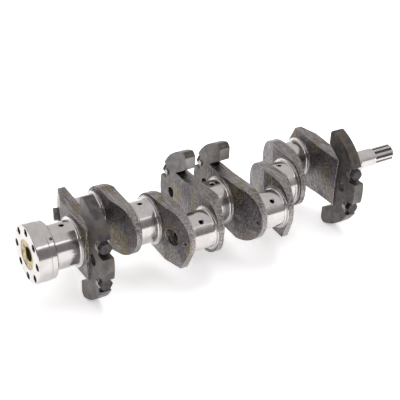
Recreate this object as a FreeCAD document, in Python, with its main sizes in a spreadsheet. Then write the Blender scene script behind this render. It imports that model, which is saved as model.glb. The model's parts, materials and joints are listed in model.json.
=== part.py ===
import FreeCAD, Part
import math
import os

import Sketcher

# Four-cylinder crankshaft with bolted counterweights.
# Frame: X runs along the main bearing axis from the flange face (x = 0) to the splined nose, the
# throws lie in the XY plane (crankpins 2 and 3 towards -Y, 1 and 4 towards +Y) and Z is up.

# Driving sizes in millimetres, angles in degrees.
SIZES = [
    ("main_dia", 70.0, "main journals"),
    ("main_len", 35.0, "main bearing gap between two webs"),
    ("rear_main_len", 42.0, "rear main journal, flange boss to first web"),
    ("pin_dia", 60.0, "crankpins"),
    ("pin_len", 41.0, "crankpin gap between two webs"),
    ("throw", 60.0, "crank radius, half the stroke"),
    ("web_thick", 27.0, "web thickness on its middle plane"),
    ("fillet_rad", 2.5, "ground fillet at each end of a journal"),
    ("shoulder_rise", 1.5, "height of the ground shoulder over the web"),
    ("shoulder_wide", 2.0, "width of the shoulder outside the fillet"),
    ("shoulder_sink", 5.0, "depth that a journal runs into its web"),
    ("main_lobe_wall", 8.0, "web outside the main journal"),
    ("pin_lobe_wall", 16.0, "radius of the web's outer lobe over that of the crankpin"),
    ("pin_lobe_shift", 11.0, "centre of that lobe inside the crankpin's axis"),
    ("lug_out", 29.0, "corner of a lug from the centre of that lobe, along the web"),
    ("lug_angle", 24.0, "where the end of a lug runs into the lobe, from the web's middle line"),
    ("bevel_drop", 18.0, "depth of a web's end bevel at the web's end"),
    ("draft_angle", 3.0, "forging draft of the web faces each side of the parting plane"),
    ("seat_wall", 9.0, "counterweight seat outside the main journal"),
    ("weight_deep", 48.0, "counterweight rim outside the seat"),
    ("weight_thick", 18.0, "counterweight thickness"),
    ("weight_inset", 5.5, "counterweight from the web's main-journal face"),
    ("arm_reach", 28.0, "arms of a counterweight, back past the seat"),
    ("arm_flare", 19.0, "inner corner of an arm's end outside the edge of the seat"),
    ("arm_corner", 9.0, "outer corner of an arm, cut back by its rounding"),
    ("arm_corner_rad", 10.8, "radius of that rounding"),
    ("block_wide", 36.0, "block between the two bolt notches of a counterweight"),
    ("notch_wall", 30.0, "counterweight under its bolt heads"),
    ("notch_clear", 2.5, "room on each side of a lock washer in its notch"),
    ("weight_hole_dia", 18.0, "balance hole through a counterweight"),
    ("weight_hole_pos", 13.0, "balance hole from the seat"),
    ("bolt_dia", 12.0, "counterweight bolt thread"),
    ("bolt_clear", 1.0, "added to the bolt for its hole in weight and washer"),
    ("bolt_grip", 18.0, "thread of a counterweight bolt in the web"),
    ("bolt_runout", 4.0, "tapped hole beyond the end of the bolt"),
    ("bolt_head_high", 8.0, "bolt head height"),
    ("bolt_flats", 18.0, "bolt head across flats"),
    ("washer_dia", 21.0, "lock washer"),
    ("washer_thick", 1.5, "lock washer sheet"),
    ("tab_up", 7.0, "tab bent up against the bolt head, over the seat"),
    ("tab_down", 6.0, "tab bent down over the side of the counterweight"),
    ("tab_wide", 8.0, "width of both tabs"),
    ("flange_dia", 92.0, "rear boss that carries the flywheel"),
    ("flange_len", 31.0, "rear boss length"),
    ("flange_chamfer", 1.5, "chamfer of the flange rim"),
    ("collar_len", 10.0, "collar at the inner end of the boss"),
    ("collar_step", 0.8, "collar surface below that of the boss"),
    ("flange_bolt_dia", 12.0, "tapped flywheel bolt hole"),
    ("flange_bolt_deep", 24.0, "depth of that hole"),
    ("flange_bolt_circle", 75.0, "pitch circle of the flywheel bolts"),
    ("flange_bolt_count", 8.0, "number of flywheel bolts"),
    ("timing_hole_dia", 5.0, "radial timing hole in the collar"),
    ("timing_hole_deep", 12.0, "depth of the timing hole"),
    ("timing_hole_pos", 4.0, "timing hole back from the front end of the collar"),
    ("timing_hole_angle", 38.0, "timing hole from upright towards -Y"),
    ("pilot_dia", 47.0, "pilot bore in the flange"),
    ("pilot_deep", 20.0, "depth of the pilot bore"),
    ("pilot_recess", 0.8, "pilot bush below the flange face"),
    ("bush_bore", 23.0, "bore of the pilot bush"),
    ("bush_mouth", 37.0, "wide end of the bush's conical mouth"),
    ("bush_mouth_deep", 1.8, "depth of the conical mouth"),
    ("relief_dia", 26.0, "relief bore behind the pilot bore"),
    ("relief_deep", 46.0, "end of the relief bore from the flange face"),
    ("gear_seat_dia", 46.0, "timing gear seat in front of the last main journal"),
    ("gear_seat_len", 17.0, "length of the gear seat"),
    ("nose_dia", 32.0, "plain nose"),
    ("nose_len", 36.5, "length of the plain nose"),
    ("spline_dia", 29.0, "splines, outside"),
    ("spline_root_dia", 23.0, "splines, root"),
    ("spline_len", 40.5, "length of the splines"),
    ("spline_tooth", 4.0, "width of a spline tooth"),
    ("spline_count", 10.0, "number of splines"),
    ("nose_chamfer", 1.5, "chamfer of the nose end"),
    ("centre_dia", 10.0, "centre drilling in the nose end"),
    ("oil_hole_dia", 7.0, "oil hole in a journal"),
    ("oil_mouth_dia", 10.0, "conical mouth of an oil hole"),
    ("oil_mouth_deep", 1.5, "depth of that mouth"),
    ("pin_oil_angle", 32.0, "oil hole of a crankpin, from upright away from the main axis"),
    ("feed_foot", 6.0, "foot of the oil feed on the main axis, from the web"),
    ("drilling_dia", 6.0, "drillings between journals, cavities and web"),
    ("drilling_out", 11.5, "outer end of the cavity's side drilling outside the cavity's wall"),
    ("raised_out", 7.0, "the same for the drilling whose plug has a raised head"),
    ("raised_flats", 19.0, "raised head of that plug, across flats"),
    ("raised_high", 8.0, "height of that head"),
    ("drilling_plug_len", 5.0, "plug of the side drilling"),
    ("drilling_plug_sink", 3.0, "that plug below the bevel, along the drilling"),
    ("cavity_dia", 27.0, "sludge cavity inside a crankpin"),
    ("cavity_wall", 7.0, "metal left at the closed end of the cavity"),
    ("cavity_plug_len", 9.0, "threaded plug of the cavity"),
    ("cavity_plug_sink", 1.5, "that plug below the deepest edge of its hole"),
    ("cavity_key", 12.0, "hexagon socket of a cavity plug, across flats"),
    ("drilling_key", 3.0, "hexagon socket of a drilling plug, across flats"),
    ("key_deep", 0.5, "depth of a socket as a share of its plug's length"),
]

CUT_MARGIN = 5.0      # how far a cutting shape reaches past the metal it cuts
THROW_SIGNS = [1, -1, -1, 1]      # side of each throw: +Y or -Y
WEIGHTED_WEBS = [1, 4, 5, 8]      # the webs are numbered 1 to 8 from the flange
REAR_OPEN = [True, True, False, False]      # whether a cavity opens through the rear web
RAISED_PLUG = [True, False, False, False]      # whether the plug of the side drilling has a head

doc = FreeCAD.newDocument("crankshaft")
sheet = doc.addObject("Spreadsheet::Sheet", "Sizes")
for row, (alias, value, note) in enumerate(SIZES, start=1):
    sheet.set(f"A{row}", alias)
    sheet.set(f"B{row}", str(value))
    sheet.set(f"C{row}", note)
    sheet.setAlias(f"B{row}", alias)
doc.recompute()

# Stations along X and distances from the main axis, as expressions.
PITCH = "(Sizes.main_len + Sizes.pin_len + 2 * Sizes.web_thick)"
FIRST_WEB = "(Sizes.flange_len + Sizes.rear_main_len)"
LAST_WEB_END = f"({FIRST_WEB} + 3 * {PITCH} + 2 * Sizes.web_thick + Sizes.pin_len)"
NOSE_START = f"({LAST_WEB_END} + Sizes.main_len)"
MAIN_LOBE = "(Sizes.main_dia / 2 + Sizes.main_lobe_wall)"
PIN_LOBE = "(Sizes.pin_dia / 2 + Sizes.pin_lobe_wall)"
PIN_LOBE_CENTRE = "(Sizes.throw - Sizes.pin_lobe_shift)"
LOBE_END = f"({PIN_LOBE_CENTRE} + {PIN_LOBE})"
SEAT = "(Sizes.main_dia / 2 + Sizes.seat_wall)"
BOLT_SEAT = f"({SEAT} + Sizes.notch_wall)"
BOLT_SIDE = "(Sizes.block_wide / 2 + Sizes.notch_clear + Sizes.washer_dia / 2)"
MAIN_BEVEL_START = "(Sizes.main_dia / 2 + Sizes.fillet_rad + Sizes.shoulder_wide)"
PIN_BEVEL_START = "(Sizes.throw - Sizes.pin_dia / 2 - Sizes.fillet_rad - Sizes.shoulder_wide)"


def size(expression):
    """Value of an expression on the sheet, in millimetres or as a plain number."""
    value = sheet.evalExpression(expression)
    return float(getattr(value, "Value", value))


def bind(obj, **expressions):
    """Tie properties to the sheet; a double underscore stands for the dot in a property path."""
    for path, expression in expressions.items():
        obj.setExpression(path.replace("__", "."), expression)


def new_body(name):
    return doc.addObject("PartDesign::Body", name)


def corner_xy(corner):
    return FreeCAD.Vector(size(corner[0]), size(corner[1]), 0)


def arc_between(start, end, radius, turn):
    """Arc shorter than half a circle; turn is 1 when it runs anticlockwise from start to end."""
    chord = end - start
    middle = (start + end) * 0.5
    normal = FreeCAD.Vector(-chord.y, chord.x, 0).normalize()
    height = math.sqrt(max(radius**2 - (chord.Length / 2) ** 2, 0.0))
    centre = middle + normal * height * turn
    angles = [math.atan2((p - centre).y, (p - centre).x) for p in (start, end)]
    if turn < 0:
        angles.reverse()
    return Part.ArcOfCircle(Part.Circle(centre, FreeCAD.Vector(0, 0, 1), radius), *angles)


def place_corner(sketch, geometry, vertex, corner):
    """Fix one end of a line or arc at a corner whose two coordinates are expressions."""
    for kind, axis, expression in (("DistanceX", -2, corner[0]), ("DistanceY", -1, corner[1])):
        if expression == "0":
            sketch.addConstraint(Sketcher.Constraint("PointOnObject", geometry, vertex, axis))
            continue
        index = sketch.addConstraint(
            Sketcher.Constraint(kind, -1, 1, geometry, vertex, size(expression))
        )
        sketch.setExpression(f"Constraints[{index}]", expression)


def add_loop(sketch, corners):
    """Closed outline. A corner is (across, up), or (across, up, radius, turn) where an arc starts."""
    ends = []
    for number, corner in enumerate(corners):
        start = corner_xy(corner)
        finish = corner_xy(corners[(number + 1) % len(corners)])
        if len(corner) == 2:
            geometry = sketch.addGeometry(Part.LineSegment(start, finish))
            ends.append((geometry, 1, 2))
            continue
        radius, turn = corner[2:]
        geometry = sketch.addGeometry(arc_between(start, finish, size(radius), turn))
        index = sketch.addConstraint(Sketcher.Constraint("Radius", geometry, size(radius)))
        sketch.setExpression(f"Constraints[{index}]", radius)
        ends.append((geometry, 1, 2) if turn > 0 else (geometry, 2, 1))
    for number, corner in enumerate(corners):
        geometry, first, _ = ends[number]
        before, _, last = ends[number - 1]
        sketch.addConstraint(Sketcher.Constraint("Coincident", before, last, geometry, first))
        place_corner(sketch, geometry, first, corner)


def add_circle(sketch, across, up, diameter):
    centre = corner_xy((across, up))
    radius = size(diameter) / 2
    geometry = sketch.addGeometry(Part.Circle(centre, FreeCAD.Vector(0, 0, 1), radius))
    index = sketch.addConstraint(Sketcher.Constraint("Diameter", geometry, 2 * radius))
    sketch.setExpression(f"Constraints[{index}]", diameter)
    place_corner(sketch, geometry, 3, (across, up))


def add_axis(sketch, start, end):
    """Construction line that a feature turns its profile round."""
    line = Part.LineSegment(corner_xy(start), corner_xy(end))
    geometry = sketch.addGeometry(line, True)
    place_corner(sketch, geometry, 1, start)
    place_corner(sketch, geometry, 2, end)


def sketch_on(body, plane, name):
    sketch = body.newObject("Sketcher::SketchObject", name)
    support = next(o for o in body.Origin.OriginFeatures if o.Role == plane)
    sketch.AttachmentSupport = (support, [""])
    sketch.MapMode = "FlatFace"
    return sketch


def pad(body, sketch, name, length):
    feature = body.newObject("PartDesign::Pad", name)
    feature.Profile = sketch
    bind(feature, Length=length)
    return feature


def cut_through(body, sketch, name):
    """Pocket that goes all the way through the body on both sides of its sketch."""
    feature = body.newObject("PartDesign::Pocket", name)
    feature.Profile = sketch
    feature.SideType = "Symmetric"
    feature.Type = "ThroughAll"
    return feature


def revolve(body, sketch, name):
    """Solid of revolution round the body's own X axis."""
    feature = body.newObject("PartDesign::Revolution", name)
    feature.Profile = sketch
    feature.ReferenceAxis = (sketch, ["H_Axis"])
    feature.Angle = 360.0
    return feature


def polar(body, feature, name, count):
    """Copies of a feature round the body's X axis."""
    pattern = body.newObject("PartDesign::PolarPattern", name)
    pattern.Originals = [feature]
    pattern.Axis = (next(o for o in body.Origin.OriginFeatures if o.Role == "X_Axis"), [""])
    pattern.Angle = 360.0
    bind(pattern, Occurrences=count)
    body.Tip = pattern
    return pattern


def cylinder(name, radius, height):
    solid = doc.addObject("Part::Cylinder", name)
    bind(solid, Radius=radius, Height=height)
    return solid


def prism(name, flats, height):
    """Hexagonal prism given by its width across flats."""
    solid = doc.addObject("Part::Prism", name)
    solid.Polygon = 6
    bind(solid, Circumradius=f"{flats} / sqrt(3)", Height=height)
    return solid


def combine(kind, name, base, tools):
    """Part::Cut or Part::Common of a base with one or more tools."""
    tool = tools[0] if len(tools) == 1 else fuse(f"{name}_tools", tools)
    result = doc.addObject(f"Part::{kind}", name)
    result.Base = base
    result.Tool = tool
    return result


def fuse(name, shapes):
    result = doc.addObject("Part::MultiFuse", name)
    result.Shapes = shapes
    return result


def turn(obj, axis, degrees):
    """Turn an object about its own origin."""
    rotation = FreeCAD.Rotation(FreeCAD.Vector(*axis), degrees)
    obj.Placement = FreeCAD.Placement(obj.Placement.Base, rotation.multiply(obj.Placement.Rotation))


def locate(obj, x="0", y="0", z="0"):
    bind(obj, Placement__Base__x=x, Placement__Base__y=y, Placement__Base__z=z)


# ---- the webs ----------------------------------------------------------------------------------
# A web is drawn with its main-journal face at x = 0, its crankpin face at x = web_thick and its
# crankpin towards +Y, then turned to its place. A throw has a rear web and a front web.

LOBE_SLOPE = f"(({PIN_LOBE} - {MAIN_LOBE}) / {PIN_LOBE_CENTRE})"
LOBE_COSINE = f"sqrt(1 - {LOBE_SLOPE}^2)"


def web_number(throw_number, front):
    return 2 * throw_number + 1 + int(front)


def web_turn(obj, throw_number, front):
    """Turn a piece drawn in the web's frame to the rear or front web of a throw."""
    if THROW_SIGNS[throw_number] > 0 and front:
        turn(obj, (0, 1, 0), 180)
    elif THROW_SIGNS[throw_number] < 0 and front:
        turn(obj, (0, 0, 1), 180)
    elif THROW_SIGNS[throw_number] < 0:
        turn(obj, (1, 0, 0), 180)


def web_x(throw_number, front, depth="0"):
    """X of a plane that lies a depth inside a web, measured from its main-journal face."""
    rear_face = f"{FIRST_WEB} + {throw_number} * {PITCH}"
    if front:
        return f"{rear_face} + 2 * Sizes.web_thick + Sizes.pin_len - ({depth})"
    return f"{rear_face} + ({depth})"


def lug_side(throw_number, front):
    """Side on which the web has a lug: 1, -1, or 0 for none. Only a web with a cavity mouth has one."""
    if front == REAR_OPEN[throw_number]:
        return 0
    return -1 if front else 1


def web_outline(weighted, lug):
    """Two lobes joined by tangents; a counterweighted web ends in a flat seat instead.

    On the side of its lug the tangent runs on to a corner, and a straight end comes back from it.
    """
    pin_side = (f"{PIN_LOBE_CENTRE} - {PIN_LOBE} * {LOBE_SLOPE}", f"{PIN_LOBE} * {LOBE_COSINE}")
    main_side = (f"-{MAIN_LOBE} * {LOBE_SLOPE}", f"{MAIN_LOBE} * {LOBE_COSINE}")
    lug_edge = f"({PIN_LOBE} + Sizes.lug_out * {LOBE_SLOPE}) / {LOBE_COSINE}"
    corner = (f"{PIN_LOBE_CENTRE} + Sizes.lug_out", lug_edge)
    lug_end = (f"{PIN_LOBE_CENTRE} + {PIN_LOBE} * cos(Sizes.lug_angle * 1deg)",
               f"{PIN_LOBE} * sin(Sizes.lug_angle * 1deg)")
    lower = [(pin_side[0], f"-{pin_side[1]}", PIN_LOBE, 1)]
    upper = [pin_side]
    if lug > 0:
        upper = [lug_end, corner]
    elif lug < 0:
        lower = [(corner[0], f"-{corner[1]}"), (lug_end[0], f"-{lug_end[1]}", PIN_LOBE, 1)]
    outline = lower + [(LOBE_END, "0", PIN_LOBE, 1)] + upper
    if weighted:
        seat = [(f"-{SEAT}", MAIN_LOBE), (f"-{SEAT}", f"-{MAIN_LOBE}")]
        return outline + [main_side] + seat + [(main_side[0], f"-{main_side[1]}")]
    return outline + [
        main_side + (MAIN_LOBE, 1),
        (f"-{MAIN_LOBE}", "0", MAIN_LOBE, 1),
        (main_side[0], f"-{main_side[1]}"),
    ]


def bevel_loops(weighted):
    """Side view of the metal that the end bevels take off a web."""
    loops = [[
        ("0", MAIN_BEVEL_START),
        ("Sizes.bevel_drop", LOBE_END),
        ("Sizes.bevel_drop", f"{LOBE_END} + {CUT_MARGIN}"),
        ("0", f"{LOBE_END} + {CUT_MARGIN}"),
    ]]
    if not weighted:
        loops.append([
            ("Sizes.web_thick", PIN_BEVEL_START),
            ("Sizes.web_thick", f"-{MAIN_LOBE} - {CUT_MARGIN}"),
            ("Sizes.web_thick - Sizes.bevel_drop", f"-{MAIN_LOBE} - {CUT_MARGIN}"),
            ("Sizes.web_thick - Sizes.bevel_drop", f"-{MAIN_LOBE}"),
        ])
    return loops


def draft_loops():
    """End view of the metal that the forging draft takes off both faces of a web."""
    reach = f"({PIN_LOBE} + {CUT_MARGIN})"
    lean = f"({reach} * tan(Sizes.draft_angle * 1deg))"
    return [
        [
            ("0", "0"),
            (lean, reach),
            (f"-{CUT_MARGIN}", reach),
            (f"-{CUT_MARGIN}", f"-{reach}"),
            (lean, f"-{reach}"),
        ],
        [
            ("Sizes.web_thick", "0"),
            (f"Sizes.web_thick - {lean}", f"-{reach}"),
            (f"Sizes.web_thick + {CUT_MARGIN}", f"-{reach}"),
            (f"Sizes.web_thick + {CUT_MARGIN}", reach),
            (f"Sizes.web_thick - {lean}", reach),
        ],
    ]


def make_web(throw_number, front):
    number = web_number(throw_number, front)
    weighted = number in WEIGHTED_WEBS
    name = f"web_{number}"
    body = new_body(name)
    outline = sketch_on(body, "YZ_Plane", f"{name}_outline")
    add_loop(outline, web_outline(weighted, lug_side(throw_number, front)))
    pad(body, outline, f"{name}_blank", "Sizes.web_thick")
    bevels = sketch_on(body, "XY_Plane", f"{name}_bevels")
    for loop in bevel_loops(weighted):
        add_loop(bevels, loop)
    cut_through(body, bevels, f"{name}_bevel_cut")
    drafts = sketch_on(body, "XZ_Plane", f"{name}_drafts")
    for loop in draft_loops():
        add_loop(drafts, loop)
    cut_through(body, drafts, f"{name}_draft_cut")
    web_turn(body, throw_number, front)
    locate(body, x=web_x(throw_number, front))
    return body


# ---- the journals ------------------------------------------------------------------------------

def fillet_corners(radius, face, side):
    """Corners of one journal end: shoulder rim, shoulder face and fillet, from the web inwards.

    side is 1 where the journal lies towards +X of its web face and -1 where it lies towards -X.
    """
    sign = "+" if side > 0 else "-"
    shoulder = f"({radius} + Sizes.fillet_rad + Sizes.shoulder_wide)"
    sunk = f"{face} - ({side}) * Sizes.shoulder_sink"
    ground = f"{face} {sign} Sizes.shoulder_rise"
    return [
        (sunk, "0"),
        (sunk, shoulder),
        (ground, shoulder),
        (ground, f"{radius} + Sizes.fillet_rad", "Sizes.fillet_rad", side),
        (f"{ground} {sign} Sizes.fillet_rad", radius),
    ]


def other_end(corners):
    """The same corners in the opposite order, for the far end of a journal."""
    sunk, rim, face, fillet, ground = corners
    return [ground + ("Sizes.fillet_rad", 1), fillet[:2], face, rim, sunk]


def make_journal(name, radius, length, x, y):
    body = new_body(name)
    section = sketch_on(body, "XY_Plane", f"{name}_section")
    near = fillet_corners(radius, "0", 1)
    far = other_end(fillet_corners(radius, length, -1))
    add_loop(section, near + far)
    revolve(body, section, f"{name}_turned")
    locate(body, x=x, y=y)
    return body


def make_rear_end():
    """Flange boss, collar and rear main journal, turned in one with the bores of the flange."""
    body = new_body("rear_end")
    section = sketch_on(body, "XY_Plane", "rear_end_section")
    boss = "Sizes.flange_dia / 2"
    collar = f"({boss} - Sizes.collar_step)"
    collar_start = "Sizes.flange_len - Sizes.collar_len"
    drill_tip = "Sizes.relief_deep + Sizes.relief_dia / 4"
    add_loop(section, [
        (drill_tip, "0"),
        ("Sizes.relief_deep", "Sizes.relief_dia / 2"),
        ("Sizes.pilot_deep", "Sizes.relief_dia / 2"),
        ("Sizes.pilot_deep", "Sizes.pilot_dia / 2"),
        ("0", "Sizes.pilot_dia / 2"),
        ("0", f"{boss} - Sizes.flange_chamfer"),
        ("Sizes.flange_chamfer", boss),
        (collar_start, boss),
        (collar_start, collar),
        ("Sizes.flange_len - Sizes.flange_chamfer", collar),
        ("Sizes.flange_len", f"{collar} - Sizes.flange_chamfer"),
        ("Sizes.flange_len", "Sizes.main_dia / 2 + Sizes.fillet_rad", "Sizes.fillet_rad", 1),
        ("Sizes.flange_len + Sizes.fillet_rad", "Sizes.main_dia / 2"),
    ] + other_end(fillet_corners("Sizes.main_dia / 2", FIRST_WEB, -1)))
    revolve(body, section, "rear_end_turned")
    holes = sketch_on(body, "XY_Plane", "flywheel_bolt_hole_section")
    radius = "Sizes.flange_bolt_dia / 2"
    centre = "Sizes.flange_bolt_circle / 2"
    add_loop(holes, [
        ("0", centre),
        ("0", f"{centre} + {radius}"),
        ("Sizes.flange_bolt_deep", f"{centre} + {radius}"),
        (f"Sizes.flange_bolt_deep + {radius} / sqrt(3)", centre),
    ])
    add_axis(holes, ("0", centre), ("Sizes.flange_bolt_deep", centre))
    hole = body.newObject("PartDesign::Groove", "flywheel_bolt_hole")
    hole.Profile = holes
    hole.ReferenceAxis = (holes, ["Axis0"])
    hole.Angle = 360.0
    polar(body, hole, "flywheel_bolt_holes", "Sizes.flange_bolt_count")
    return body


def make_front_end():
    """Last main journal, timing gear seat and nose with its splines."""
    body = new_body("front_end")
    section = sketch_on(body, "XY_Plane", "front_end_section")
    main = "Sizes.main_dia / 2"
    seat_end = f"{NOSE_START} + Sizes.gear_seat_len"
    spline_start = f"{seat_end} + Sizes.nose_len"
    nose_end = f"{spline_start} + Sizes.spline_len"
    add_loop(section, fillet_corners(main, LAST_WEB_END, 1) + [
        (f"{NOSE_START} - Sizes.nose_chamfer", main),
        (NOSE_START, f"{main} - Sizes.nose_chamfer"),
        (NOSE_START, "Sizes.gear_seat_dia / 2"),
        (f"{seat_end} - Sizes.nose_chamfer", "Sizes.gear_seat_dia / 2"),
        (seat_end, "Sizes.gear_seat_dia / 2 - Sizes.nose_chamfer"),
        (seat_end, "Sizes.nose_dia / 2"),
        (f"{spline_start} - Sizes.nose_chamfer", "Sizes.nose_dia / 2"),
        (spline_start, "Sizes.spline_dia / 2"),
        (f"{nose_end} - Sizes.nose_chamfer", "Sizes.spline_dia / 2"),
        (nose_end, "Sizes.spline_dia / 2 - Sizes.nose_chamfer"),
        (nose_end, "Sizes.centre_dia / 2"),
        (f"{nose_end} - Sizes.centre_dia * sqrt(3) / 2", "0"),
    ])
    revolve(body, section, "front_end_turned")
    space = sketch_on(body, "YZ_Plane", "spline_space_section")
    half = "(180deg / Sizes.spline_count)"
    tooth = "(Sizes.spline_tooth / 2)"
    root = "(Sizes.spline_root_dia / 2)"
    outside = f"(Sizes.spline_dia / 2 + {CUT_MARGIN})"
    add_loop(space, spline_space(half, tooth, root, outside))
    cut = body.newObject("PartDesign::Pocket", "spline_space")
    cut.Profile = space
    bind(space, AttachmentOffset__Base__z=spline_start)
    cut.Reversed = True
    bind(cut, Length=f"Sizes.spline_len + {CUT_MARGIN}")
    polar(body, cut, "spline_spaces", "Sizes.spline_count")
    return body


def spline_space(half, tooth, root, outside):
    """Space between two splines, drawn round the sketch's upright axis.

    Its sides are parallel to the middle planes of the two teeth beside it.
    """
    def side_point(radius):
        along = f"sqrt({radius}^2 - {tooth}^2)"
        return (f"({along} * sin({half}) - {tooth} * cos({half}))",
                f"({along} * cos({half}) + {tooth} * sin({half}))")
    low = side_point(root)
    high = side_point(outside)
    return [
        (low[0], low[1], root, 1),
        (f"-{low[0]}", low[1]),
        (f"-{high[0]}", high[1]),
        (high[0], high[1]),
    ]


# ---- drillings in the forging ------------------------------------------------------------------

BEVEL_SLOPE = f"(Sizes.bevel_drop / ({LOBE_END} - {MAIN_BEVEL_START}))"


def bevel_depth(position):
    """Depth of the crankpin-end bevel at a distance from the main axis, on the middle plane."""
    return f"({BEVEL_SLOPE} * ({position} - {MAIN_BEVEL_START}))"


CAVITY_EDGE = bevel_depth("(Sizes.throw + Sizes.cavity_dia / 2)")
CAVITY_PLUG_FACE = f"({CAVITY_EDGE} + Sizes.cavity_plug_sink)"
CAVITY_ENTRY = f"({CAVITY_PLUG_FACE} + Sizes.cavity_plug_len + Sizes.drilling_dia)"
CAVITY_LENGTH = (f"(2 * Sizes.web_thick + Sizes.pin_len - {CAVITY_EDGE} - Sizes.cavity_wall)")


def web_point(throw_number, front, depth, position):
    """Point in the throw plane: its depth in a web and its distance from the main axis."""
    return (web_x(throw_number, front, depth), f"{THROW_SIGNS[throw_number]} * ({position})", "0")


def aim(obj, start, end):
    """Stand an object drawn along +Z on one point so that it points at another."""
    direction = [size(b) - size(a) for a, b in zip(start, end)]
    rotation = FreeCAD.Rotation(FreeCAD.Vector(0, 0, 1), FreeCAD.Vector(*direction))
    obj.Placement = FreeCAD.Placement(FreeCAD.Vector(0, 0, 0), rotation)
    locate(obj, *start)


def straight_drill(name, diameter, start, end):
    """Drill from a point inside the metal out through another point."""
    steps = " + ".join(f"(({b}) - ({a}))^2" for a, b in zip(start, end))
    drill = cylinder(name, f"{diameter} / 2", f"sqrt({steps}) + {CUT_MARGIN}")
    aim(drill, start, end)
    return drill


def radial_tool(tool, x, y, angle, start):
    """Point a tool away from the axis through (x, y); angle is from upright towards -Y."""
    turn(tool, (1, 0, 0), size(angle))
    across = f"{y} - {start} * sin({angle} * 1deg)"
    locate(tool, x=x, y=across, z=f"{start} * cos({angle} * 1deg)")
    return tool


def oil_mouth(name, journal_radius, x, y, angle):
    """Cone that opens an oil hole where it meets the journal's surface."""
    mouth = doc.addObject("Part::Cone", name)
    flare = "(Sizes.oil_mouth_dia - Sizes.oil_hole_dia) / 2 / Sizes.oil_mouth_deep"
    bind(
        mouth,
        Radius1="Sizes.oil_hole_dia / 2",
        Radius2=f"Sizes.oil_mouth_dia / 2 + {flare} * {CUT_MARGIN}",
        Height=f"Sizes.oil_mouth_deep + {CUT_MARGIN}",
    )
    return radial_tool(mouth, x, y, angle, f"({journal_radius} - Sizes.oil_mouth_deep)")


def main_oil_tools(throw_number):
    """Oil hole on top of a main journal and the feed from its foot to the crankpin's cavity."""
    number = throw_number + 1
    x_middle = f"{FIRST_WEB} + {throw_number} * {PITCH} - Sizes.main_len / 2"
    foot = web_point(throw_number, False, "-Sizes.feed_foot", "0")
    top = (x_middle, "0", "Sizes.main_dia / 2")
    inner_wall = "Sizes.throw - Sizes.cavity_dia / 2"
    entry = web_point(throw_number, False, CAVITY_ENTRY, inner_wall)
    return [
        straight_drill(f"main_oil_hole_{number}", "Sizes.oil_hole_dia", foot, top),
        oil_mouth(f"main_oil_mouth_{number}", "Sizes.main_dia / 2", x_middle, "0", "0"),
        straight_drill(f"oil_feed_{number}", "Sizes.drilling_dia", foot, entry),
    ]


def pin_oil_tools(throw_number):
    """Radial oil hole of a crankpin; opposite throws have it turned by half a turn."""
    number = throw_number + 1
    x_middle = f"{web_x(throw_number, False, 'Sizes.web_thick')} + Sizes.pin_len / 2"
    y = f"{THROW_SIGNS[throw_number]} * Sizes.throw"
    angle = "Sizes.pin_oil_angle" if THROW_SIGNS[throw_number] < 0 else "(180 + Sizes.pin_oil_angle)"
    hole_length = f"Sizes.pin_dia / 2 + {CUT_MARGIN}"
    hole = cylinder(f"pin_oil_hole_{number}", "Sizes.oil_hole_dia / 2", hole_length)
    return [
        radial_tool(hole, x_middle, y, angle, "0"),
        oil_mouth(f"pin_oil_mouth_{number}", "Sizes.pin_dia / 2", x_middle, y, angle),
    ]


def side_drilling_ends(throw_number):
    """Outer end on the rear web's bevel and inner end in the cavity of the side drilling.

    The drilling of a raised plug is square to the bevel, so that the head lies flat on it.
    """
    raised = RAISED_PLUG[throw_number]
    inner_wall = "(Sizes.throw + Sizes.cavity_dia / 2)"
    position = f"({inner_wall} + Sizes.{'raised_out' if raised else 'drilling_out'})"
    inner_depth = CAVITY_ENTRY
    if raised:
        inner_depth = f"{bevel_depth(position)} + Sizes.raised_out / {BEVEL_SLOPE}"
    outer = web_point(throw_number, False, bevel_depth(position), position)
    return outer, web_point(throw_number, False, inner_depth, inner_wall)


def cavity_tools(throw_number):
    """Sludge cavity of a crankpin and its side drilling."""
    number = throw_number + 1
    front = not REAR_OPEN[throw_number]
    cavity = cylinder(f"cavity_{number}", "Sizes.cavity_dia / 2", CAVITY_LENGTH)
    turn(cavity, (0, 1, 0), -90 if front else 90)
    x, y, _ = web_point(throw_number, front, "0", "Sizes.throw")
    locate(cavity, x=x, y=y)
    outer, inner = side_drilling_ends(throw_number)
    drilling = straight_drill(f"side_drilling_{number}", "Sizes.drilling_dia", inner, outer)
    return [cavity, drilling]


def bolt_frame(throw_number, side):
    """Rotation for a bolt or washer drawn along +Z: +Z points off the seat, +X off the middle."""
    off_seat = FreeCAD.Vector(0, -THROW_SIGNS[throw_number], 0)
    off_middle = FreeCAD.Vector(0, 0, side)
    return FreeCAD.Rotation(off_middle, off_seat.cross(off_middle), off_seat, "ZXY")


def place_on_weight(obj, throw_number, front, side, position):
    """Put a piece of a bolted joint on its bolt's axis, at a distance from the main axis."""
    obj.Placement = FreeCAD.Placement(FreeCAD.Vector(0, 0, 0), bolt_frame(throw_number, side))
    middle = "Sizes.weight_inset + Sizes.weight_thick / 2"
    x, y, _ = web_point(throw_number, front, middle, f"-({position})")
    locate(obj, x=x, y=y, z=f"{side} * {BOLT_SIDE}")


def tapped_hole(throw_number, front, side):
    number = web_number(throw_number, front)
    depth = "(Sizes.bolt_grip + Sizes.bolt_runout)"
    name = f"tapped_hole_{number}_{'upper' if side > 0 else 'lower'}"
    tool = cylinder(name, "Sizes.bolt_dia / 2", f"{depth} + {CUT_MARGIN}")
    place_on_weight(tool, throw_number, front, side, f"{SEAT} - {depth}")
    return tool


def timing_hole():
    tool = cylinder("timing_hole", "Sizes.timing_hole_dia / 2", f"Sizes.timing_hole_deep + {CUT_MARGIN}")
    start = "(Sizes.flange_dia / 2 - Sizes.timing_hole_deep)"
    x = "Sizes.flange_len - Sizes.timing_hole_pos"
    return radial_tool(tool, x, "0", "Sizes.timing_hole_angle", start)


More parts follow.
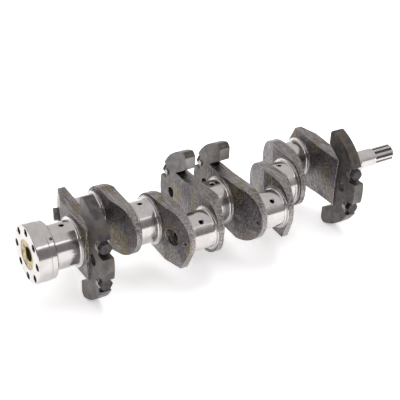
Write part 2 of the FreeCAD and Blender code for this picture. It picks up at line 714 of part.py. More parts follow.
# ---- the loose pieces --------------------------------------------------------------------------

def make_counterweight(throw_number, front):
    """Sector plate that straddles the main end of a web and is bolted to its flat seat."""
    name = f"counterweight_{web_number(throw_number, front)}"
    body = new_body(name)
    outline = sketch_on(body, "YZ_Plane", f"{name}_outline")
    rim = f"({SEAT} + Sizes.weight_deep)"
    arm_end = f"({SEAT} - Sizes.arm_reach)"
    arm_in = f"({MAIN_LOBE} + Sizes.arm_flare)"
    arm_out = f"sqrt({rim}^2 - {arm_end}^2)"
    corner_end = f"({arm_end} + Sizes.arm_corner)"
    notch_in = "(Sizes.block_wide / 2)"
    notch_out = f"({BOLT_SIDE} + Sizes.washer_dia / 2 + Sizes.notch_clear)"
    half = [
        (f"-{SEAT}", MAIN_LOBE),
        (f"-{arm_end}", arm_in),
        (f"-{arm_end}", f"({arm_out} - Sizes.arm_corner)", "Sizes.arm_corner_rad", 1),
        (f"-{corner_end}", f"sqrt({rim}^2 - {corner_end}^2)", rim, 1),
        (f"-sqrt({rim}^2 - {notch_out}^2)", notch_out),
        (f"-{BOLT_SEAT}", notch_out),
        (f"-{BOLT_SEAT}", notch_in),
        (f"-sqrt({rim}^2 - {notch_in}^2)", notch_in, rim, 1),
        (f"-{rim}", "0", rim, 1),
    ]
    mirrored = [(across, f"-{up}") for across, up in (corner[:2] for corner in reversed(half[:-1]))]
    mirrored[3] += (rim, 1)
    mirrored[4] += ("Sizes.arm_corner_rad", 1)
    add_loop(outline, half + mirrored)
    add_circle(outline, f"-({SEAT} + Sizes.weight_hole_pos)", "0", "Sizes.weight_hole_dia")
    pad(body, outline, f"{name}_plate", "Sizes.weight_thick")
    holes = sketch_on(body, "XZ_Plane", f"{name}_bolt_holes")
    for side in ("", "-"):
        add_circle(holes, "Sizes.weight_thick / 2", f"{side}{BOLT_SIDE}",
                   "Sizes.bolt_dia + Sizes.bolt_clear")
    cut_through(body, holes, f"{name}_bolt_hole_cut")
    web_turn(body, throw_number, front)
    locate(body, x=web_x(throw_number, front, "Sizes.weight_inset"))
    return body


def box(name, x, y, z, length, width, height):
    """Part::Box that starts at (x, y, z)."""
    solid = doc.addObject("Part::Box", name)
    bind(solid, Length=length, Width=width, Height=height)
    locate(solid, x, y, z)
    return solid


def hexagon_head(name, flats, high):
    """Hexagon head standing on z = 0, its outer corners turned off to a cone."""
    blank = prism(f"{name}_head_blank", flats, high)
    turn(blank, (0, 0, 1), 30)
    crown = doc.addObject("Part::Cone", f"{name}_head_crown")
    bind(crown, Radius1=f"{flats} / 2 + {high} * sqrt(3)", Radius2=f"{flats} / 2", Height=high)
    return combine("Common", f"{name}_head", blank, [crown])


def make_bolt(name, throw_number, front, side):
    """Hexagon bolt whose head rests on the lock washer."""
    head = hexagon_head(name, "Sizes.bolt_flats", "Sizes.bolt_head_high")
    shank_length = "(Sizes.washer_thick + Sizes.notch_wall + Sizes.bolt_grip)"
    shank = cylinder(f"{name}_shank", "Sizes.bolt_dia / 2", shank_length)
    locate(shank, z=f"-{shank_length}")
    bolt = fuse(name, [head, shank])
    place_on_weight(bolt, throw_number, front, side, f"{BOLT_SEAT} + Sizes.washer_thick")
    return bolt


def make_lock_washer(name, throw_number, front, side):
    """Sheet washer with one tab bent up against the head and one bent down over the weight."""
    disc = cylinder(f"{name}_disc", "Sizes.washer_dia / 2", "Sizes.washer_thick")
    half_tab = "-Sizes.tab_wide / 2"
    thick = "Sizes.washer_thick"
    up_reach = "Sizes.bolt_flats / 2"
    down_reach = "Sizes.weight_thick / 2"
    rear = THROW_SIGNS[throw_number] * side > 0
    pieces = [
        disc,
        box(f"{name}_up_arm", "0", half_tab, "0", f"{up_reach} + {thick}", "Sizes.tab_wide", thick),
        box(f"{name}_up_tab", up_reach, half_tab, "0", thick, "Sizes.tab_wide", "Sizes.tab_up"),
        box(f"{name}_down_arm", half_tab, "0" if rear else f"-({down_reach} + {thick})", "0",
            "Sizes.tab_wide", f"{down_reach} + {thick}", thick),
        box(f"{name}_down_tab", half_tab, down_reach if rear else f"-({down_reach} + {thick})",
            "-Sizes.tab_down", "Sizes.tab_wide", thick, "Sizes.tab_down + Sizes.washer_thick"),
    ]
    bore = cylinder(f"{name}_bore", "(Sizes.bolt_dia + Sizes.bolt_clear) / 2", thick)
    washer = combine("Cut", name, fuse(f"{name}_blank", pieces), [bore])
    place_on_weight(washer, throw_number, front, side, BOLT_SEAT)
    return washer


def make_plug(name, diameter, length, key, sink):
    """Threaded plug drawn along +Z, with its hexagon socket in the end nearest the surface."""
    plug = cylinder(f"{name}_blank", f"{diameter} / 2", length)
    locate(plug, z=sink)
    socket = prism(f"{name}_socket", key, f"{length} * Sizes.key_deep")
    locate(socket, z=sink)
    return combine("Cut", name, plug, [socket])


def make_cavity_plug(throw_number):
    front = not REAR_OPEN[throw_number]
    name = f"cavity_plug_{throw_number + 1}"
    plug = make_plug(name, "Sizes.cavity_dia", "Sizes.cavity_plug_len", "Sizes.cavity_key",
                     CAVITY_PLUG_FACE)
    turn(plug, (0, 1, 0), -90 if front else 90)
    x, y, _ = web_point(throw_number, front, "0", "Sizes.throw")
    locate(plug, x=x, y=y)
    return plug


def make_drilling_plug(throw_number):
    name = f"drilling_plug_{throw_number + 1}"
    if RAISED_PLUG[throw_number]:
        stem_length = "Sizes.drilling_plug_len + Sizes.drilling_plug_sink"
        stem = cylinder(f"{name}_stem", "Sizes.drilling_dia / 2", stem_length)
        head = hexagon_head(name, "Sizes.raised_flats", "Sizes.raised_high")
        turn(head, (1, 0, 0), 180)
        plug = fuse(name, [stem, head])
    else:
        plug = make_plug(name, "Sizes.drilling_dia", "Sizes.drilling_plug_len",
                         "Sizes.drilling_key", "Sizes.drilling_plug_sink")
    aim(plug, *side_drilling_ends(throw_number))
    return plug


def make_pilot_bush():
    """Bronze bush of the flange's pilot bore, with a conical mouth."""
    body = new_body("pilot_bush")
    section = sketch_on(body, "XY_Plane", "pilot_bush_section")
    mouth_end = "Sizes.pilot_recess + Sizes.bush_mouth_deep"
    add_loop(section, [
        ("Sizes.pilot_recess", "Sizes.bush_mouth / 2"),
        (mouth_end, "Sizes.bush_bore / 2"),
        ("Sizes.pilot_deep", "Sizes.bush_bore / 2"),
        ("Sizes.pilot_deep", "Sizes.pilot_dia / 2"),
        ("Sizes.pilot_recess", "Sizes.pilot_dia / 2"),
    ])
    revolve(body, section, "pilot_bush_turned")
    return body


# ---- the assembly ------------------------------------------------------------------------------

def make_forging():
    """Webs, journals and both ends as one forging, with every drilling cut from it."""
    metal = [make_rear_end(), make_front_end()]
    drills = [timing_hole()]
    for throw_number, sign in enumerate(THROW_SIGNS):
        number = throw_number + 1
        metal += [make_web(throw_number, False), make_web(throw_number, True)]
        pin_start = web_x(throw_number, False, "Sizes.web_thick")
        metal.append(make_journal(f"crankpin_{number}", "Sizes.pin_dia / 2", "Sizes.pin_len",
                                  pin_start, f"{sign} * Sizes.throw"))
        if throw_number > 0:
            main_start = f"{FIRST_WEB} + {throw_number} * {PITCH} - Sizes.main_len"
            metal.append(make_journal(f"main_journal_{number}", "Sizes.main_dia / 2",
                                      "Sizes.main_len", main_start, "0"))
        drills += main_oil_tools(throw_number)
        drills += pin_oil_tools(throw_number)
        drills += cavity_tools(throw_number)
    for throw_number, front in weighted_webs():
        drills += [tapped_hole(throw_number, front, side) for side in (1, -1)]
    return combine("Cut", "crankshaft_forging", fuse("forging_metal", metal), drills)


def weighted_webs():
    """Throw and side of each web that carries a counterweight."""
    places = [(throw_number, front) for throw_number in range(len(THROW_SIGNS))
              for front in (False, True)]
    return [place for place in places if web_number(*place) in WEIGHTED_WEBS]


def make_all():
    nodes = [make_forging(), make_pilot_bush()]
    for throw_number, front in weighted_webs():
        nodes.append(make_counterweight(throw_number, front))
        for side, word in ((1, "upper"), (-1, "lower")):
            ending = f"{web_number(throw_number, front)}_{word}"
            place = (throw_number, front, side)
            nodes.append(make_bolt(f"counterweight_bolt_{ending}", *place))
            nodes.append(make_lock_washer(f"lock_washer_{ending}", *place))
    for throw_number in range(len(THROW_SIGNS)):
        nodes.append(make_cavity_plug(throw_number))
        nodes.append(make_drilling_plug(throw_number))
    return nodes


def check(obj):
    """Stop on an object that FreeCAD could not build."""
    faults = [state for state in obj.State if state in ("Invalid", "Error")]
    if faults:
        raise RuntimeError(f"{obj.Name} is {', '.join(faults)}")
    solid = obj.isDerivedFrom("Part::Feature") and not obj.isDerivedFrom("Part::Part2DObject")
    if solid and (obj.Shape.isNull() or not obj.Shape.isValid()):
        raise RuntimeError(f"{obj.Name} has no valid shape")


nodes = make_all()
doc.recompute()
for part_object in doc.Objects:
    check(part_object)
os.makedirs("parts", exist_ok=True)
for node in nodes:
    if len(node.Shape.Solids) != 1:
        raise RuntimeError(f"{node.Label} has {len(node.Shape.Solids)} solids")
    node.Shape.exportStep(f"parts/{node.Label}.step")
    print(f"{node.Label}: {node.Shape.Volume / 1000:.1f} cm3")
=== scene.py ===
import json
import math

import bpy
from mathutils import Matrix, Vector


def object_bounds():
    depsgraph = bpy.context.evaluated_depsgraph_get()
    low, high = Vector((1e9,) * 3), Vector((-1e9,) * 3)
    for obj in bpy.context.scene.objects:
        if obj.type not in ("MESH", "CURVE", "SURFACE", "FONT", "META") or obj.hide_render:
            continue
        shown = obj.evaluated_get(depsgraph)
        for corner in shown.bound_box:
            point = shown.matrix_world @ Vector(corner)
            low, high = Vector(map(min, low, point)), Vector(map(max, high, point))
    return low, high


# A four-cylinder crankshaft lying on a pale studio floor. Lengths are metres in the CAD frame:
# X runs along the main bearing axis from the flange to the nose, and Z is up.

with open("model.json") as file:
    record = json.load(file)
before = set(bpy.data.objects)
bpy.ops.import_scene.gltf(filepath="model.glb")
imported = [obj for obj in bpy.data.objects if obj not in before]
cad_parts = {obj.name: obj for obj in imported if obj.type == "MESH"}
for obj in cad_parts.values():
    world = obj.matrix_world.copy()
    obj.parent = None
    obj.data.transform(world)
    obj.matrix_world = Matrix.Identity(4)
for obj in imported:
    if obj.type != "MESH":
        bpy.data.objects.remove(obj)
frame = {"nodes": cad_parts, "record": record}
cad_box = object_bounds()

MM = 0.001

# Sizes of the shaft that the finishes follow.
MAIN_LEN = 35 * MM
PIN_LEN = 41 * MM
WEB_THICK = 27 * MM
THROW = 60 * MM
FIRST_WEB = 73 * MM             # the first web's rear face
FLANGE_END = 31.4 * MM          # just past the end of the flange boss
MAIN_GROUND = 39.6 * MM         # radius of the ground shoulder beside a main journal
PIN_GROUND = 34.6 * MM          # the same beside a crankpin
WEIGHT_RIM = 80 * MM            # the counterweights' rims lie further out than this
SPLINE_START = 646.5 * MM
SPLINE_ROOT = 12.2 * MM         # radius below which a spline groove is darkened
SPLINE_DARK_FADE = 1.6 * MM
EDGE = 0.1 * MM                 # a ground finish stops this far from the web beside it

CYLINDER_PITCH = MAIN_LEN + PIN_LEN + 2 * WEB_THICK
FIRST_MAIN = FIRST_WEB - MAIN_LEN / 2
FIRST_PIN = FIRST_WEB + WEB_THICK + PIN_LEN / 2
LOWER_THROWS = (FIRST_WEB + CYLINDER_PITCH, FIRST_WEB + 3 * CYLINDER_PITCH)     # towards -Y
LAST_WEB_END = FIRST_PIN + 3 * CYLINDER_PITCH + PIN_LEN / 2 + WEB_THICK


# ---- shader graphs ----------------------------------------------------------------------------

BEVEL_SAMPLES = 6
EDGE_TURN = (0.02, 0.3)         # how far a normal turns where an edge starts and where it is full


class Graph:
    """A node tree, with short names for the sums that the finishes and the studio use."""

    def __init__(self, tree):
        self.tree = tree

    def add(self, kind, inputs, **settings):
        node = self.tree.nodes.new(f"ShaderNode{kind}")
        for setting, value in settings.items():
            setattr(node, setting, value)
        for key, value in inputs.items():
            self.put(node.inputs[key], value)
        return node

    def put(self, socket, value):
        if isinstance(value, bpy.types.NodeSocket):
            self.tree.links.new(value, socket)
        else:
            socket.default_value = value

    def split(self, vector):
        return self.add("SeparateXYZ", {0: vector}).outputs[:3]

    def math(self, operation, first, second=0.0):
        return self.add("Math", {0: first, 1: second}, operation=operation).outputs[0]

    def rise(self, value, low, high):
        """0 up to low, 1 from high on, smooth between; low may be the larger one."""
        inputs = {"Value": value, "From Min": low, "From Max": high}
        node = self.add("MapRange", inputs, interpolation_type="SMOOTHSTEP")
        return node.outputs["Result"]

    def scale(self, value, low, high):
        """A value between 0 and 1 spread between low and high."""
        return self.add("MapRange", {"Value": value, "To Min": low, "To Max": high}).outputs["Result"]

    def all_of(self, *masks):
        result = masks[0]
        for mask in masks[1:]:
            result = self.math("MULTIPLY", result, mask)
        return result

    def any_of(self, *masks):
        result = masks[0]
        for mask in masks[1:]:
            result = self.math("MAXIMUM", result, mask)
        return result

    def invert(self, mask):
        return self.math("SUBTRACT", 1.0, mask)

    def blend(self, factor, first, second):
        """Two colours or two numbers mixed by a factor."""
        sockets = (first, second)
        colours = any(isinstance(s, tuple) or getattr(s, "type", "") == "RGBA" for s in sockets)
        first_input, second_input, output = (6, 7, 2) if colours else (2, 3, 0)
        first, second = ((s + (1.0,)) if isinstance(s, tuple) else s for s in sockets)
        kind = "RGBA" if colours else "FLOAT"
        inputs = {0: factor, first_input: first, second_input: second}
        return self.add("Mix", inputs, data_type=kind).outputs[output]

    def cover(self, colour, mask, amount, top):
        """A colour covered by a top colour where the mask is 1, as thickly as the amount says."""
        return self.blend(self.math("MULTIPLY", mask, amount), colour, top)


class Finish(Graph):
    """One material's graph, in the CAD frame."""

    def __init__(self, name):
        self.material = bpy.data.materials.new(name)
        self.material.use_nodes = True
        super().__init__(self.material.node_tree)
        self.shader = self.tree.nodes["Principled BSDF"]
        coordinates = self.add("TexCoord", {})
        self.place = coordinates.outputs["Object"]
        self.x, self.y, self.z = self.split(self.place)
        self.facing_x, self.facing_y = self.split(coordinates.outputs["Normal"])[:2]

    def set(self, **values):
        """Values or sockets for the shader's own inputs; an underscore stands for a space."""
        for name, value in values.items():
            self.put(self.shader.inputs[name.replace("_", " ")], value)

    def noise(self, grain, detail=3.0, roughness=0.55, distortion=0.0):
        """Cloudy noise; grain is one length, or one for each axis."""
        along = grain if isinstance(grain, tuple) else (grain,) * 3
        inputs = {0: self.place, 1: tuple(1 / length for length in along)}
        stretched = self.add("VectorMath", inputs, operation="MULTIPLY").outputs[0]
        inputs = {"Vector": stretched, "Scale": 1.0, "Detail": detail,
                  "Roughness": roughness, "Distortion": distortion}
        return self.add("TexNoise", inputs).outputs[0]

    def rings(self, distance, grain, detail=2.0):
        """Noise that changes with one distance only."""
        inputs = {"W": distance, "Scale": 1 / grain, "Detail": detail}
        return self.add("TexNoise", inputs, noise_dimensions="1D").outputs[0]

    def distance_from(self, y_centre):
        """Distance from an axis along X."""
        across = self.math("SUBTRACT", self.y, y_centre)
        squares = (self.math("MULTIPLY", across, across), self.math("MULTIPLY", self.z, self.z))
        return self.math("SQRT", self.math("ADD", *squares))

    def soft_edges(self, radius):
        """The surface's normal as if its edges were rounded."""
        return self.add("Bevel", {"Radius": radius}, samples=BEVEL_SAMPLES).outputs[0]

    def edges(self, radius):
        """1 on outer and inner edges, 0 on open surfaces."""
        flat = self.add("NewGeometry", {}).outputs["Normal"]
        inputs = {0: self.soft_edges(radius), 1: flat}
        alike = self.add("VectorMath", inputs, operation="DOT_PRODUCT").outputs["Value"]
        return self.rise(self.invert(alike), *EDGE_TURN)

    def bump(self, height, depth, strength, normal):
        inputs = {"Height": height, "Distance": depth, "Strength": strength, "Normal": normal}
        return self.add("Bump", inputs).outputs[0]


# ---- materials --------------------------------------------------------------------------------

# Colours of the metals, clean and dirty, as linear red, green and blue.
GROUND_FRESH = (0.64, 0.615, 0.605)
GROUND_DULL = (0.57, 0.545, 0.54)
GROUND_BAND = (0.40, 0.37, 0.36)
GROUND_SPECK = (0.30, 0.27, 0.26)
SPLINE_ROOT_DARK = (0.05, 0.045, 0.05)
SCALE_DARK = (0.088, 0.072, 0.082)
SCALE_PALE = (0.285, 0.272, 0.268)
SCALE_MOTTLE = (0.075, 0.060, 0.066)
HAMMERED = (0.330, 0.310, 0.305)
TRIMMED_RIM = (0.42, 0.39, 0.375)
PAINTED_UPPER_SHADE = (0.075, 0.060, 0.070)
OIL_STAIN = (0.190, 0.150, 0.075)
RUBBED_SCALE = (0.62, 0.60, 0.59)
CAST_DARK = (0.105, 0.096, 0.098)
CAST_PALE = (0.190, 0.180, 0.180)
CAST_SAND = (0.065, 0.056, 0.055)
CAST_DUST = (0.150, 0.122, 0.090)
RUBBED_CAST = (0.42, 0.415, 0.41)
MACHINED_PALE = (0.44, 0.415, 0.40)
MACHINED_DARK = (0.28, 0.265, 0.255)
OXIDE_DARK = (0.045, 0.042, 0.045)
OXIDE_PALE = (0.095, 0.088, 0.088)
RUBBED_OXIDE = (0.33, 0.31, 0.30)
SHEET_PALE = (0.40, 0.385, 0.37)
SHEET_DARK = (0.24, 0.225, 0.215)
SHEET_STAIN = (0.15, 0.12, 0.085)
RUBBED_SHEET = (0.52, 0.50, 0.49)
PLUG_DARK = (0.17, 0.155, 0.145)
PLUG_PALE = (0.26, 0.245, 0.235)
PLUG_OIL = (0.08, 0.066, 0.052)
RUBBED_PLUG = (0.42, 0.40, 0.39)
BRONZE_PALE = (0.50, 0.42, 0.23)
BRONZE_DARK = (0.38, 0.31, 0.15)
BRONZE_TARNISH = (0.17, 0.145, 0.085)
RUBBED_BRONZE = (0.66, 0.58, 0.40)

CLOUD_SPREAD = (0.35, 0.7)      # values of cloudy noise at which one colour has become the other
END_FACING = (0.75, 0.9)        # how squarely an end face looks along the axis
RIM_FACING = (0.55, 0.25)       # how little a web's rim does
DRAFT_SHADE = (-35 * MM, 20 * MM)       # heights between which painted shade darkens the webs' drafted faces towards the top


def ground_zones(g, main_radius):
    """1 where the forging is turned or ground."""
    near_main = g.math("LESS_THAN", main_radius, MAIN_GROUND)
    from_main = g.math("PINGPONG", g.math("SUBTRACT", g.x, FIRST_MAIN), CYLINDER_PITCH / 2)
    on_main = g.all_of(near_main, g.math("LESS_THAN", from_main, MAIN_LEN / 2 - EDGE))
    flange = g.math("LESS_THAN", g.x, FLANGE_END)
    rear = g.all_of(near_main, g.math("LESS_THAN", g.x, FIRST_WEB - EDGE))
    front = g.all_of(near_main, g.math("GREATER_THAN", g.x, LAST_WEB_END + EDGE))
    lower = g.all_of(g.math("GREATER_THAN", g.x, LOWER_THROWS[0]),
                     g.math("LESS_THAN", g.x, LOWER_THROWS[1]))
    pin_radius = g.distance_from(g.scale(lower, THROW, -THROW))
    from_pin = g.math("PINGPONG", g.math("SUBTRACT", g.x, FIRST_PIN), CYLINDER_PITCH / 2)
    on_pin = g.all_of(g.math("LESS_THAN", pin_radius, PIN_GROUND),
                      g.math("LESS_THAN", from_pin, PIN_LEN / 2 - EDGE))
    return g.any_of(on_main, flange, rear, front, on_pin)


def forged_steel():
    """As-forged webs, with ground journals and turned ends."""
    g = Finish("forged_steel")
    main_radius = g.distance_from(0.0)
    ground = ground_zones(g, main_radius)
    end_face = g.rise(g.math("ABSOLUTE", g.facing_x), *END_FACING)

    # Ground steel: fine lines round the axis, faint handling marks and a warm grey tone.
    lines = g.blend(end_face, g.rings(g.x, 0.5 * MM, 3.0), g.rings(main_radius, 0.6 * MM, 3.0))
    bands = g.rings(g.x, 7 * MM)
    marks = g.noise(14 * MM, 4.0)
    specks = g.rise(g.noise(2.2 * MM, 3.0), 0.64, 0.72)
    ground_colour = g.blend(g.rise(marks, *CLOUD_SPREAD), GROUND_FRESH, GROUND_DULL)
    ground_colour = g.cover(ground_colour, bands, 0.18, GROUND_BAND)
    ground_colour = g.cover(ground_colour, specks, 0.3, GROUND_SPECK)
    # the spline grooves are darkened towards their roots
    groove = g.all_of(g.math("GREATER_THAN", g.x, SPLINE_START),
                      g.rise(main_radius, SPLINE_ROOT + SPLINE_DARK_FADE, SPLINE_ROOT))
    ground_colour = g.cover(ground_colour, groove, 0.9, SPLINE_ROOT_DARK)
    smooth = g.math("ADD", g.scale(lines, 0.11, 0.17), g.scale(marks, -0.02, 0.05))
    ground_rough = g.blend(end_face, smooth, g.scale(lines, 0.22, 0.36))

    # As-forged steel: dark scale with brown and purple clouds, oil, grinding and rubbed edges;
    # painted shade darkens the upper halves of the webs' faces.
    clouds = g.noise(34 * MM, 4.0, 0.55, 0.6)
    mottle = g.rise(g.noise(3.2 * MM, 4.0, 0.6), 0.35, 0.65)
    hammered = g.rise(g.noise((7 * MM, 3 * MM, 10 * MM), 3.0, 0.6), 0.40, 0.60)
    scale_colour = g.blend(g.rise(clouds, 0.36, 0.62), SCALE_DARK, SCALE_PALE)
    scale_colour = g.cover(scale_colour, mottle, 0.5, SCALE_MOTTLE)
    scale_colour = g.cover(scale_colour, hammered, 0.35, HAMMERED)
    streaks = g.noise((1.8 * MM, 60 * MM, 1.8 * MM), 3.0, 0.6)
    rim = g.rise(g.math("ABSOLUTE", g.facing_x), *RIM_FACING)
    trimmed = g.all_of(rim, g.rise(streaks, 0.38, 0.62))
    scale_colour = g.cover(scale_colour, trimmed, 0.85, TRIMMED_RIM)
    # painted shade: the webs' faces darken towards the top, where they face the dark neighbouring
    # webs
    painted_upper_shade = g.all_of(g.invert(rim), g.rise(g.z, *DRAFT_SHADE))
    scale_colour = g.cover(scale_colour, painted_upper_shade, 0.55, PAINTED_UPPER_SHADE)
    oil_noise = g.noise((26 * MM, 26 * MM, 48 * MM), 3.0, 0.5, 0.8)
    oil = g.math("MULTIPLY", g.rise(oil_noise, 0.53, 0.63), g.scale(mottle, 0.35, 0.85))
    scale_colour = g.blend(oil, scale_colour, OIL_STAIN)
    worn = g.math("MULTIPLY", g.edges(1.6 * MM), g.scale(mottle, 0.35, 1.0))
    scale_colour = g.cover(scale_colour, worn, 0.95, RUBBED_SCALE)
    scale_rough = g.blend(oil, g.scale(mottle, 0.24, 0.40), g.scale(mottle, 0.14, 0.28))

    colour = g.blend(ground, scale_colour, ground_colour)
    g.set(Base_Color=colour, Roughness=g.blend(ground, scale_rough, ground_rough), Metallic=1.0)

    pits = g.math("ADD", g.noise(1.4 * MM, 4.0, 0.7), g.math("MULTIPLY", g.noise(9 * MM, 2.0), 3.0))
    rough_height = g.math("ADD", pits, g.math("MULTIPLY", streaks, g.math("MULTIPLY", rim, 0.8)))
    rough_height = g.math("ADD", rough_height, g.math("MULTIPLY", mottle, 0.6))
    rough_height = g.math("ADD", rough_height, g.math("MULTIPLY", hammered, 1.2))
    height = g.blend(ground, rough_height, g.math("MULTIPLY", lines, 0.008))
    g.set(Normal=g.bump(height, 0.4 * MM, 0.9, g.soft_edges(1.4 * MM)))
    return g.material


def weight_iron():
    """Sand-cast iron, machined where the plate meets the web and the bolts."""
    g = Finish("weight_iron")
    inside_rim = g.math("LESS_THAN", g.math("ABSOLUTE", g.y), WEIGHT_RIM)
    machined = g.all_of(g.rise(g.math("ABSOLUTE", g.facing_y), 0.985, 0.995), inside_rim)
    sand = g.noise(1.1 * MM, 5.0, 0.75)
    waves = g.noise(12 * MM, 3.0, 0.5, 0.4)
    dust = g.noise(30 * MM, 3.0)
    cast = g.blend(g.rise(waves, *CLOUD_SPREAD), CAST_DARK, CAST_PALE)
    cast = g.cover(cast, sand, 0.5, CAST_SAND)
    cast = g.blend(g.rise(dust, 0.50, 0.66), cast, CAST_DUST)
    worn = g.all_of(g.edges(1.2 * MM), g.rise(waves, 0.3, 0.6))
    cast = g.cover(cast, worn, 0.7, RUBBED_CAST)
    cuts = g.rings(g.x, 0.45 * MM, 2.0)
    bright = g.cover(MACHINED_PALE, cuts, 0.6, MACHINED_DARK)
    g.set(
        Base_Color=g.blend(machined, cast, bright),
        Roughness=g.blend(machined, g.scale(sand, 0.30, 0.50), g.scale(cuts, 0.22, 0.36)),
        Metallic=1.0,
    )
    height = g.math("ADD", sand, g.math("MULTIPLY", waves, 2.5))
    height = g.blend(machined, height, g.math("MULTIPLY", cuts, 0.08))
    g.set(Normal=g.bump(height, 0.45 * MM, 0.9, g.soft_edges(1.0 * MM)))
    return g.material


def bolt_steel():
    """Black oxide, rubbed through on the edges of the heads."""
    g = Finish("bolt_steel")
    film = g.noise(4 * MM, 4.0, 0.6)
    turned = g.rings(g.y, 0.35 * MM, 2.0)
    black = g.blend(g.rise(film, *CLOUD_SPREAD), OXIDE_DARK, OXIDE_PALE)
    worn = g.all_of(g.edges(0.8 * MM), g.scale(film, 0.3, 1.0))
    g.set(
        Base_Color=g.cover(black, worn, 0.8, RUBBED_OXIDE),
        Roughness=g.scale(film, 0.24, 0.46),
        Metallic=1.0,
        Normal=g.bump(g.math("ADD", film, g.math("MULTIPLY", turned, 0.3)), 0.12 * MM, 0.7,
                      g.soft_edges(0.7 * MM)),
    )
    return g.material


def washer_steel():
    """Rolled sheet with shear marks, oil-stained round the bends."""
    g = Finish("washer_steel")
    grain = g.noise((0.5 * MM, 0.5 * MM, 9 * MM), 3.0, 0.6)
    stain = g.noise(6 * MM, 3.0)
    sheet = g.cover(SHEET_PALE, grain, 0.5, SHEET_DARK)
    sheet = g.blend(g.rise(stain, 0.52, 0.68), sheet, SHEET_STAIN)
    worn = g.edges(0.5 * MM)
    g.set(
        Base_Color=g.cover(sheet, worn, 0.7, RUBBED_SHEET),
        Roughness=g.scale(grain, 0.26, 0.42),
        Metallic=1.0,
        Normal=g.bump(grain, 0.10 * MM, 0.6, g.soft_edges(0.4 * MM)),
    )
    return g.material


def plug_steel():
    """Dull turned plugs with oil in their sockets."""
    g = Finish("plug_steel")
    film = g.noise(3.5 * MM, 4.0, 0.6)
    marks = g.noise(0.8 * MM, 2.0)
    steel = g.blend(g.rise(film, *CLOUD_SPREAD), PLUG_DARK, PLUG_PALE)
    steel = g.cover(steel, marks, 0.4, PLUG_OIL)
    worn = g.all_of(g.edges(0.7 * MM), g.scale(film, 0.3, 1.0))
    g.set(
        Base_Color=g.cover(steel, worn, 0.7, RUBBED_PLUG),
        Roughness=g.scale(film, 0.26, 0.46),
        Metallic=1.0,
        Normal=g.bump(g.math("ADD", film, marks), 0.15 * MM, 0.7, g.soft_edges(0.6 * MM)),
    )
    return g.material


def bronze():
    """Turned bronze, darkened by oil in patches."""
    g = Finish("bronze")
    radius = g.distance_from(0.0)
    face = g.rise(g.math("ABSOLUTE", g.facing_x), 0.4, 0.7)
    cuts = g.blend(face, g.rings(g.x, 0.5 * MM, 2.0), g.rings(radius, 0.5 * MM, 2.0))
    tarnish = g.noise(9 * MM, 4.0, 0.6, 0.5)
    metal = g.cover(BRONZE_PALE, cuts, 0.5, BRONZE_DARK)
    metal = g.blend(g.rise(tarnish, 0.42, 0.66), metal, BRONZE_TARNISH)
    worn = g.edges(0.8 * MM)
    g.set(
        Base_Color=g.cover(metal, worn, 0.5, RUBBED_BRONZE),
        Roughness=g.math("ADD", g.scale(cuts, 0.20, 0.32), g.scale(tarnish, 0.0, 0.15)),
        Metallic=1.0,
        Normal=g.bump(cuts, 0.06 * MM, 0.6, g.soft_edges(0.5 * MM)),
    )
    return g.material


def dress_nodes():
    """Give every CAD node the material of its slot in the record."""
    makers = (forged_steel, weight_iron, bolt_steel, washer_steel, plug_steel, bronze)
    finishes = {maker.__name__: maker() for maker in makers}
    for subpart in frame["record"]["subparts"]:
        mesh = frame["nodes"][subpart["node"]].data
        for index in range(len(mesh.materials)):
            mesh.materials[index] = finishes[subpart["material_slot"]]


# ---- camera, floor and light ------------------------------------------------------------------

CAMERA_TARGET = Vector((0.3038, 0.0144, 0.0))
CAMERA_DISTANCE = 1.595
CAMERA_AZIMUTH = 32.60      # degrees from +Y towards +X, the way the camera looks
CAMERA_DROP = 31.15         # degrees below the horizon
CAMERA_ROLL = 2.59          # degrees
CAMERA_LENS = 89.33         # millimetres on a 36 mm sensor
CAMERA_REACH = 120.0
FLOOR_SIZE = 80.0           # wide enough to reach past most views of the part
FLOOR_GAP = 0.4 * MM        # between the floor and the counterweights that rest on it
FLOOR_WHITE = (0.94, 0.94, 0.94, 1.0)
FLOOR_ROUGHNESS = 0.9
FLOOR_GLOW = 0.42
SUN_POWER = 1.3
SUN_WIDTH = 45              # degrees, wide enough for soft shadows
SUN_TILT = (-12, 14)        # degrees about X and Y, from straight down
ROOM_WHITE = (0.78, 0.765, 0.76)
ROOM_SHADE = (0.27, 0.245, 0.255)
STRIP_LIGHT = (3.6, 3.45, 3.5)
NEAR_SIDE = (0.1, 0.45)     # how far a direction turns to the camera's side
SHADE_TOP = (0.68, 0.60)    # heights of a direction: 0 is level and 1 straight up
STRIP_BOTTOM = (0.655, 0.675)
STRIP_TOP = (0.735, 0.715)


def camera_way():
    azimuth, drop = math.radians(CAMERA_AZIMUTH), math.radians(CAMERA_DROP)
    across = math.cos(drop)
    return Vector((math.sin(azimuth) * across, math.cos(azimuth) * across, -math.sin(drop)))


def make_camera():
    forward = camera_way()
    data = bpy.data.cameras.new("studio_camera")
    data.lens = CAMERA_LENS
    data.clip_end = CAMERA_REACH
    camera = bpy.data.objects.new("studio_camera", data)
    camera.location = CAMERA_TARGET - forward * CAMERA_DISTANCE
    level = forward.to_track_quat("-Z", "Y").to_matrix().to_4x4()
    roll = Matrix.Rotation(math.radians(CAMERA_ROLL), 4, "Z")
    camera.rotation_mode = "QUATERNION"
    camera.rotation_quaternion = (level @ roll).to_quaternion()
    bpy.context.scene.collection.objects.link(camera)
    bpy.context.scene.camera = camera


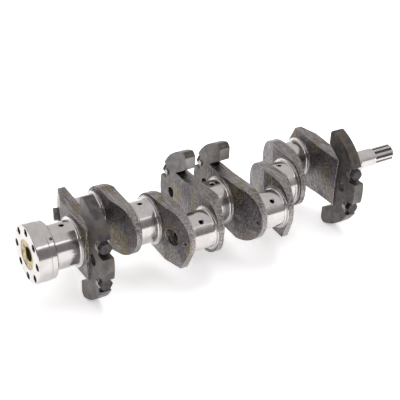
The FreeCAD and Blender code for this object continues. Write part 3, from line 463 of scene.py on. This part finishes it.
def make_floor():
    low = cad_box[0].z - FLOOR_GAP
    half = FLOOR_SIZE / 2
    corners = [(-half, -half, low), (half, -half, low), (half, half, low), (-half, half, low)]
    mesh = bpy.data.meshes.new("studio_floor")
    mesh.from_pydata(corners, [], [(0, 1, 2, 3)])
    floor = bpy.data.objects.new("studio_floor", mesh)
    bpy.context.scene.collection.objects.link(floor)
    material = bpy.data.materials.new("floor_white")
    material.use_nodes = True
    inputs = material.node_tree.nodes["Principled BSDF"].inputs
    inputs["Base Color"].default_value = FLOOR_WHITE
    inputs["Roughness"].default_value = FLOOR_ROUGHNESS
    inputs["Emission Color"].default_value = (1.0, 1.0, 1.0, 1.0)
    inputs["Emission Strength"].default_value = FLOOR_GLOW
    mesh.materials.append(material)


def make_sun():
    """The softbox overhead, left out of reflections so that it draws no disc on the journals."""
    light = bpy.data.lights.new("overhead_softbox", "SUN")
    light.energy = SUN_POWER
    light.angle = math.radians(SUN_WIDTH)
    sun = bpy.data.objects.new("overhead_softbox", light)
    sun.visible_glossy = False
    sun.rotation_euler = (math.radians(SUN_TILT[0]), math.radians(SUN_TILT[1]), 0.0)
    bpy.context.scene.collection.objects.link(sun)


def make_world():
    """A pale room, shaded low on the camera's side, with a bright strip light above the shade."""
    world = bpy.data.worlds.new("studio")
    bpy.context.scene.world = world
    world.use_nodes = True
    g = Graph(world.node_tree)
    way = g.add("TexCoord", {}).outputs["Generated"]
    height = g.split(way)[2]
    back = -camera_way()
    inputs = {0: way, 1: (back.x, back.y, 0.0)}
    towards = g.add("VectorMath", inputs, operation="DOT_PRODUCT").outputs["Value"]
    near_side = g.rise(towards, *NEAR_SIDE)
    shade = g.all_of(near_side, g.rise(height, *SHADE_TOP))
    strip = g.all_of(g.rise(height, *STRIP_BOTTOM), g.rise(height, *STRIP_TOP), near_side)
    colour = g.blend(strip, g.blend(shade, ROOM_WHITE, ROOM_SHADE), STRIP_LIGHT)
    g.put(g.tree.nodes["Background"].inputs["Color"], colour)


make_camera()
make_floor()
make_sun()
make_world()
dress_nodes()
bpy.context.scene.view_settings.view_transform = "Standard"
